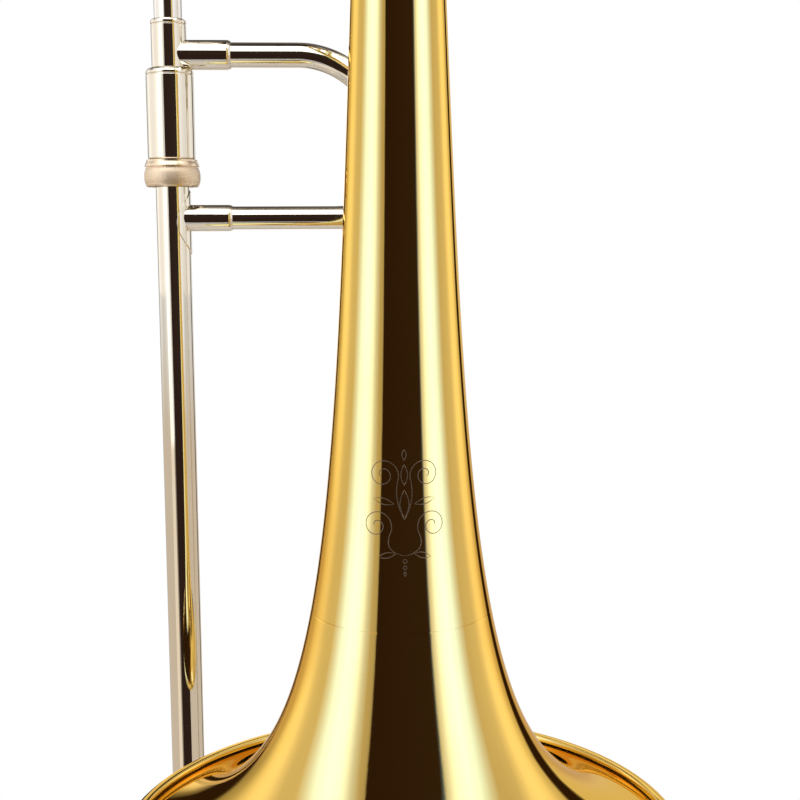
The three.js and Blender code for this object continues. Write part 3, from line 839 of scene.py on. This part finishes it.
# ---------------- bows
def half_turn(centre, radius, side, down, stub, steps=72):
    """Points of a half circle about centre from +side to -side, with straight ends."""
    side, down = Vector(side), Vector(down)
    points = [centre + side * radius - down * stub * (1 - i / 4) for i in range(4)]
    for i in range(steps + 1):
        angle = math.pi * i / steps
        points.append(centre + side * radius * math.cos(angle) + down * radius * math.sin(angle))
    points += [centre - side * radius - down * stub * (i + 1) / 4 for i in range(4)]
    return points


def slide_bow_arc():
    """The centre and radius of the slide bow's middle line, and its tube's radius in millimetres."""
    tube = radius_of("outer_tube_mouth")
    radius = (NECK.x - MOUTH.x) / 2
    centre = Vector(((NECK.x + MOUTH.x) / 2, NECK.y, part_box("slide_bow")[0].z + tube * MM + radius))
    return centre, radius, tube


def build_bows():
    centre, radius, tube = slide_bow_arc()
    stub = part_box("slide_bow")[1].z - centre.z
    bent("slide_bow", half_turn(centre, radius, (1, 0, 0), (0, 0, -1), stub), tube, 56)

    low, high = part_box("tuning_bow")
    tube = (high.x - low.x) / 2 / MM
    radius = (NECK.y - STEM.y) / 2
    centre = Vector((0, (NECK.y + STEM.y) / 2, high.z - tube * MM - radius))
    bent("tuning_bow", half_turn(centre, radius, (0, -1, 0), (0, 0, 1), centre.z - low.z), tube, 64)

    low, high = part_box("tuning_brace")
    z = (low.z + high.z) / 2
    ferrule = radius_of("tuning_ferrule_stem")
    start, end = STEM.y / MM + ferrule - 0.6, NECK.y / MM - ferrule + 0.6
    flange = (high.x - low.x) / 2 / MM
    lathed("tuning_brace", [
        (0, start), (flange, start), (flange, start + 1.8), (flange - 1.0, start + 2.6), (3.9, start + 5),
        (3.6, start + 9), (3.6, end - 9), (3.9, end - 5), (flange - 1.0, end - 2.6), (flange, end - 1.8),
        (flange, end), (0, end),
    ], 64, 0.5, along((0, 0, z), (0, 1, 0)))


def build_bumper():
    foot, top = span_of("bumper_cup")
    wide = radius_of("bumper_cup")
    lathed("bumper_cup", [
        (0, foot + 5), (4.7, foot + 5), (4.7, foot), (wide - 0.8, foot), (wide, foot + 5.5),
        (wide, foot + 8), (wide - 0.8, foot + 10.5), (0, foot + 10.5),
    ], 72, 0.5)
    foot, top = span_of("slide_bumper")
    wide = radius_of("slide_bumper")
    lathed("slide_bumper", [
        (0, foot), (wide - 1, foot), (wide, foot + 1.4), (wide, foot + 7), (wide, top), (0, top),
    ], 64, 0.6)


def build_mouthpiece():
    foot, top = span_of("mouthpiece")
    wide = radius_of("mouthpiece")
    outline = [
        (4.6, foot), (5.45, foot), (5.92, foot + 25), (6.0, foot + 34), (6.15, foot + 41), (6.7, foot + 46),
        (7.4, foot + 49.5), (7.9, foot + 51), (8.9, foot + 51.8), (9.1, foot + 53), (8.9, foot + 54.2),
        (8.2, foot + 55), (8.6, foot + 57), (10.4, foot + 61), (13.0, foot + 65), (15.6, foot + 69),
        (17.6, foot + 73.5), (18.6, foot + 77.5), (19.0, foot + 78.6), (wide, foot + 80), (wide, foot + 81.6),
        (wide - 0.6, foot + 83), (wide - 1.8, top - 0.1), (16.3, top), (14.8, top - 0.2), (13.6, top - 0.8),
        (12.8, top - 2), (12.5, top - 4), (12.2, top - 8), (11.2, top - 13.5), (9.2, top - 19),
        (6.2, top - 23.5), (4.0, top - 27), (3.3, top - 29.5), (3.2, top - 33),
    ]
    bm = turned(spline_closed(outline), upright("mouthpiece"), 96)
    stand_for(smooth_object("mouthpiece_fine", bm), "mouthpiece")


def spline_closed(outline, steps=3, sharp=(0, 1)):
    """Catmull-Rom points through an outline, with straight lines at the corners in `sharp`."""
    result = []
    count = len(outline)
    widest = max(radius for radius, _ in outline)
    for i in range(count):
        p0, p1, p2, p3 = (Vector(outline[(i + k) % count]) for k in (-1, 0, 1, 2))
        if i in sharp or (i + 1) % count in sharp or i == count - 1:
            result.append(tuple(p1))
            continue
        for k in range(steps):
            t = k / steps
            point = 0.5 * (2 * p1 + (p2 - p0) * t + (2 * p0 - 5 * p1 + 4 * p2 - p3) * t**2
                           + (3 * p1 - p0 - 3 * p2 + p3) * t**3)
            result.append((min(point.x, widest), point.y))
    return result


# ---------------- water key
SPOUT_ANGLE = math.radians(35)  # from straight down towards +X


def build_water_key():
    centre, radius, tube = slide_bow_arc()
    out = Vector((math.sin(SPOUT_ANGLE), 0, -math.cos(SPOUT_ANGLE)))
    axis = along(centre + out * radius, out)
    lathed("water_key_spout", [
        (0, tube - 1), (3.4, tube - 1), (3.0, tube + 1.6), (2.9, tube + 3.6), (3.3, tube + 4.6),
        (3.3, tube + 5.2), (1.9, tube + 5.2), (1.9, tube + 2), (0, tube + 2),
    ], 48, 0.25, axis)
    low, high = tube + 5.6, tube + 5.6 + 2.4
    lathed("water_key_cork", [(0, low), (3.6, low), (3.7, high), (0, high)], 48, 0.4, axis)


# ---------------- studio
CAMERA_PLACE = Vector((-20.9, -439.8, 217.0)) * MM
CAMERA_YAW = math.radians(-2.71)
CAMERA_PITCH = math.radians(7.38)
CAMERA_ROLL = math.radians(-0.27)
CAMERA_LENS = 56.8


def build_camera():
    cos_yaw, sin_yaw = math.cos(CAMERA_YAW), math.sin(CAMERA_YAW)
    cos_pitch, sin_pitch = math.cos(CAMERA_PITCH), math.sin(CAMERA_PITCH)
    ahead = Vector((-sin_yaw * cos_pitch, cos_yaw * cos_pitch, -sin_pitch))
    right = Vector((cos_yaw, sin_yaw, 0))
    up = right.cross(ahead)
    level_right = math.cos(CAMERA_ROLL) * right + math.sin(CAMERA_ROLL) * up
    level_up = -math.sin(CAMERA_ROLL) * right + math.cos(CAMERA_ROLL) * up
    data = bpy.data.cameras.new("camera")
    data.lens, data.sensor_width = CAMERA_LENS, 36
    data.clip_start, data.clip_end = 0.01, 50
    camera = bpy.data.objects.new("camera", data)
    turn = Matrix((level_right, level_up, -ahead)).transposed()
    camera.matrix_world = Matrix.Translation(CAMERA_PLACE) @ turn.to_4x4()
    bpy.context.scene.collection.objects.link(camera)
    bpy.context.scene.camera = camera


# How bright a panel is across its width.
SOFT_PROFILE = ((0.0, 0.0), (0.15, 0.3), (0.32, 0.82), (0.5, 1.0), (0.68, 0.82), (0.85, 0.3), (1.0, 0.0))
FLAT_PROFILE = ((0.0, 1.0), (1.0, 1.0))
WHITE = (1.0, 1.0, 1.0)
WARM = (1.0, 0.62, 0.28)
COOL = (0.12, 0.31, 1.0)  # the gold of the lacquer turns this into a pale cream


def fill_ramp(ramp, stops):
    """Gives a colour ramp grey stops of (place, value)."""
    elements = ramp.color_ramp.elements
    while len(elements) < len(stops):
        elements.new(0.5)
    for element, (place, value) in zip(elements, stops):
        element.position = place
        element.color = (value, value, value, 1)


def softbox(name, centre, aim, width, height, radiance, receivers, colour, profile=FLAT_PROFILE):
    """A panel of light on one group of pieces only, seen by reflections and not by the camera."""
    data = bpy.data.lights.new(name, "AREA")
    data.shape, data.size, data.size_y = "RECTANGLE", width, height
    data.energy = radiance * 4 * width * height
    data.color = [value / max(colour) for value in colour]
    data.use_nodes = True
    nodes, links = data.node_tree.nodes, data.node_tree.links
    split = nodes.new("ShaderNodeSeparateXYZ")
    links.new(nodes.new("ShaderNodeNewGeometry").outputs["Parametric"], split.inputs[0])
    ramp = nodes.new("ShaderNodeValToRGB")
    links.new(split.outputs[0], ramp.inputs[0])
    fill_ramp(ramp, profile)
    links.new(ramp.outputs[0], nodes["Emission"].inputs["Strength"])
    light = bpy.data.objects.new(name, data)
    light.visible_camera = False
    direction = (Vector(aim) - Vector(centre)).normalized()
    turn = direction.to_track_quat("-Z", "Y").to_matrix().to_4x4()
    light.matrix_world = Matrix.Translation(centre) @ turn
    light.light_linking.receiver_collection = receivers
    bpy.context.scene.collection.objects.link(light)


# Radiance all round the studio, by bearing in degrees: 0 is the camera's side, negative is to its left.
STUDIO_BANDS = (
    (-180, 1.25), (-160, 1.1), (-153, 0.30), (-144, 0.50), (-136, 0.74), (-128, 0.85), (-119, 0.87),
    (-111, 0.80), (-101, 0.70), (-92, 0.68), (-76, 0.72), (-66, 0.85), (-59, 1.0), (-52, 0.85), (-46, 0.60),
    (-34, 0.46), (-32.5, 0.0), (32.5, 0.006), (34.5, 0.6), (42, 0.92), (56, 0.95), (64, 0.66), (78, 0.60),
    (88, 0.66), (99, 0.74), (109, 0.75), (145, 0.75),
)
BACK_RIGHT = (109, 145.5)  # the bearings where the next ramp takes over
STUDIO_BACK_RIGHT = ((109, 0.75), (118, 0.70), (126, 0.62), (133, 0.62), (145.5, 1.1))
BACK_SHADE = (  # what share of the bands is left: the dark gaps behind the object
    (-180, 1.0), (-165, 1.0), (-162.5, 0.0), (-153.5, 0.0), (-151, 1.0), (131, 1.0), (133, 0.0), (143, 0.0),
    (145.5, 1.0),
)
BACK_SKY_LEFT = 0.16  # what share of the light is left high up behind the object
BACK_SKY_HEIGHT = (0.42, 0.58)
BACK_SKY_DEPTH = (0.06, 0.24)
BAND_SCALE = 10  # colour ramps hold values up to 1, so they hold the radiance divided by this
DARK_HALF = 32.5  # bearings nearer the front than this stay dark below the horizon too
STUDIO_DARK = (0.027, 0.0145, 0.0105)
ZENITH_SHARE = 0.375  # how much the dark front part narrows overhead
BAND_LEAN = 0.05  # how much the bands lean together overhead
LOW_LIGHT = (0.60, 0.52, 0.43)  # what the bands fade to below the horizon
LOW_FADE = (-0.05, -0.17)


def build_world():
    world = bpy.data.worlds.new("studio")
    bpy.context.scene.world = world
    world.use_nodes = True
    tree = world.node_tree
    tree.nodes.clear()

    def node(kind, **settings):
        made = tree.nodes.new(kind)
        for key, value in settings.items():
            setattr(made, key, value)
        return made

    def calc(operation, *values):
        made = node("ShaderNodeMath", operation=operation)
        for index, value in enumerate(values):
            if isinstance(value, (int, float)):
                made.inputs[index].default_value = value
            else:
                tree.links.new(value, made.inputs[index])
        return made.outputs[0]

    place = node("ShaderNodeTexCoord").outputs["Generated"]
    split = node("ShaderNodeSeparateXYZ")
    tree.links.new(place, split.inputs[0])
    x, y, z = split.outputs
    height = calc("MULTIPLY", calc("ABSOLUTE", z), ZENITH_SHARE)
    front = calc("SQRT", calc("ADD", calc("MULTIPLY", y, y), calc("MULTIPLY", height, height)))
    back = calc("SUBTRACT", height, y)
    behind = calc("GREATER_THAN", y, 0.0)
    depth = calc("ADD", calc("MULTIPLY", behind, calc("SUBTRACT", back, front)), front)
    lean = calc("SUBTRACT", 1.0, calc("MULTIPLY", calc("MULTIPLY", z, z), BAND_LEAN))
    bearing = calc("MULTIPLY", calc("ARCTAN2", x, depth), lean)
    share = calc("ADD", calc("DIVIDE", bearing, 2 * math.pi), 0.5)

    def bands(stops, scale=BAND_SCALE):
        ramp = node("ShaderNodeValToRGB")
        tree.links.new(share, ramp.inputs[0])
        fill_ramp(ramp, [((degrees + 180) / 360, value / scale) for degrees, value in stops])
        return ramp.outputs[0]

    def blended(kind, factor, first, second):
        made = node("ShaderNodeMix", data_type="RGBA", blend_type=kind)
        for index, value in ((0, factor), (6, first), (7, second)):
            if isinstance(value, (tuple, float)):
                made.inputs[index].default_value = value
            else:
                tree.links.new(value, made.inputs[index])
        return made.outputs[2]

    def between(low, high):
        above = calc("GREATER_THAN", share, (low + 180) / 360)
        return calc("MULTIPLY", above, calc("LESS_THAN", share, (high + 180) / 360))

    def step(value, span):
        made = node("ShaderNodeMapRange", interpolation_type="SMOOTHSTEP")
        tree.links.new(value, made.inputs["Value"])
        made.inputs["From Min"].default_value, made.inputs["From Max"].default_value = span
        return made.outputs["Result"]

    around = blended("MIX", between(*BACK_RIGHT), bands(STUDIO_BANDS), bands(STUDIO_BACK_RIGHT))
    lit_part = calc("GREATER_THAN", calc("ABSOLUTE", calc("SUBTRACT", share, 0.5)), DARK_HALF / 360)
    low = blended("MIX", lit_part, (0.0, 0.0, 0.0, 1.0), (*(value / BAND_SCALE for value in LOW_LIGHT), 1.0))
    faded = blended("MIX", step(z, LOW_FADE), around, low)
    high_up = calc("MULTIPLY", step(z, BACK_SKY_HEIGHT), step(y, BACK_SKY_DEPTH))
    sky = calc("SUBTRACT", 1.0, calc("MULTIPLY", high_up, 1 - BACK_SKY_LEFT))
    shaded = blended("MULTIPLY", 1.0, faded, bands(BACK_SHADE, 1))
    shaded = blended("MULTIPLY", 1.0, shaded, sky)
    lit_colour = blended("ADD", 1.0, shaded, (*(value / BAND_SCALE for value in STUDIO_DARK), 1.0))
    emission = node("ShaderNodeBackground")
    emission.inputs["Strength"].default_value = BAND_SCALE
    tree.links.new(lit_colour, emission.inputs["Color"])
    plain = node("ShaderNodeBackground")
    plain.inputs["Color"].default_value = (1, 1, 1, 1)
    seen = node("ShaderNodeLightPath").outputs["Is Camera Ray"]
    blend = node("ShaderNodeMixShader")
    tree.links.new(seen, blend.inputs[0])
    tree.links.new(emission.outputs[0], blend.inputs[1])
    tree.links.new(plain.outputs[0], blend.inputs[2])
    output = node("ShaderNodeOutputWorld")
    tree.links.new(blend.outputs[0], output.inputs["Surface"])


FLOOR_DROP = 0.75  # the floor leaves room for the slide run right out and drawn from its receiver
FLOOR_RADIUS = 1.7


def build_floor():
    bottom = CAD_BOX[0].z
    bm = bmesh.new()
    bmesh.ops.create_circle(bm, cap_ends=True, radius=FLOOR_RADIUS, segments=128)
    floor = smooth_object("floor", bm)
    floor.location = (0, 0.05, bottom - FLOOR_DROP - 0.001)
    look = Shader("floor")
    look.set(Roughness=0.9)
    look.link(look.mix(look.noise(6, 3), (0.82, 0.82, 0.81), (0.86, 0.86, 0.85)), look.shader, "Base Color")
    floor.data.materials.append(look.material)
    return floor


def build_studio():
    bpy.context.scene.view_settings.view_transform = "Standard"
    build_camera()
    build_world()
    return build_floor()


# Upright panels round the slide's mouthpiece leg and round the bell: name, first and last bearing, height
# where the high and the low part meet, radiance and colour of the high and of the low part, profile.
SLIDE_PANELS = (
    ("slide_front_left", -56, -25, 0.03, (0.56, WHITE), (0.20, LOW_LIGHT), FLAT_PROFILE),
    ("slide_left", -128, -56, 0.165, (0.22, LOW_LIGHT), None, FLAT_PROFILE),
    ("slide_right", 60, 135, 0.165, (0.16, LOW_LIGHT), None, FLAT_PROFILE),
)
BELL_PANELS = (
    ("bell_left", -92, -39, 0.03, (3.0, COOL), (3.0, COOL), SOFT_PROFILE),
    ("bell_right", 30, 79, 0.03, (3.0, COOL), (3.0, COOL), SOFT_PROFILE),
    ("bell_far_left", -140, -105, 0.03, (0.22, WHITE), (0.22, WHITE), SOFT_PROFILE),
    ("bell_far_right", 96, 130, 0.03, (0.35, WHITE), (0.35, WHITE), SOFT_PROFILE),
)
PANEL_DISTANCE = 0.6
PANEL_HEIGHT = 1.1


def build_panels(axis, panels, receivers):
    for name, start, end, part_z, high, low, profile in panels:
        bearing = math.radians((start + end) / 2)
        width = 2 * PANEL_DISTANCE * math.tan(math.radians((end - start) / 2))
        x = axis.x + PANEL_DISTANCE * math.sin(bearing)
        y = axis.y - PANEL_DISTANCE * math.cos(bearing)
        for part, light, side in (("high", high, 1), ("low", low, -1)):
            if light:
                z = part_z + side * PANEL_HEIGHT / 2
                softbox(f"{name}_{part}", (x, y, z), (axis.x, axis.y, z), width, PANEL_HEIGHT, light[0],
                        receivers, light[1], profile)


def group_of(name, pieces):
    """A collection that lights can be linked to."""
    group = bpy.data.collections.new(name)
    for piece in pieces:
        group.objects.link(piece)
    return group


SINGLE_PANELS = (  # name, group, centre, aim, width, height, radiance, colour
    ("slide_top", "slide", (-0.08, -0.39, 0.75), (-0.08, -0.39, 0), 0.8, 0.84, 1.4, WHITE),
    ("slide_under", "slide", (-0.05, 0.05, -0.45), (-0.05, 0.05, 0), 0.9, 0.9, 0.10, WARM),
    ("bell_back", "bell", (-0.1, 0.75, 0.75), (0, 0, 0), 0.5, 0.5, 0.7, WHITE),
    ("floor_top", "floor", (0, 0, 1.2), (0, 0, 0), 2.4, 2.4, 1.0, WHITE),
)


def build_lights(floor):
    """The bell's brass, the other pieces and the floor each have lights of their own."""
    pieces = [piece for piece in bpy.context.scene.objects if "lit_as_slide" in piece]
    groups = {
        "slide": group_of("slide_pieces", [piece for piece in pieces if piece["lit_as_slide"]]),
        "bell": group_of("bell_pieces", [piece for piece in pieces if not piece["lit_as_slide"]]),
        "floor": group_of("floor_pieces", [floor]),
    }
    build_panels(MOUTH, SLIDE_PANELS, groups["slide"])
    build_panels(STEM, BELL_PANELS, groups["bell"])
    for name, group, centre, aim, width, height, radiance, colour in SINGLE_PANELS:
        softbox(name, centre, aim, width, height, radiance, groups[group], colour)


FLOOR = build_studio()
build_bell()
build_ornament()
build_tubes()
build_receiver()
build_rings()
build_barrels()
build_inner_brace()
build_outer_brace()
build_bell_braces()
build_bows()
build_bumper()
build_mouthpiece()
build_water_key()
build_lights(FLOOR)
for name, node in frame["nodes"].items():
    if not node.hide_render and name in SLOT_OF:
        node.data.materials.clear()
        node.data.materials.append(FINISHES[SLOT_OF[name]])
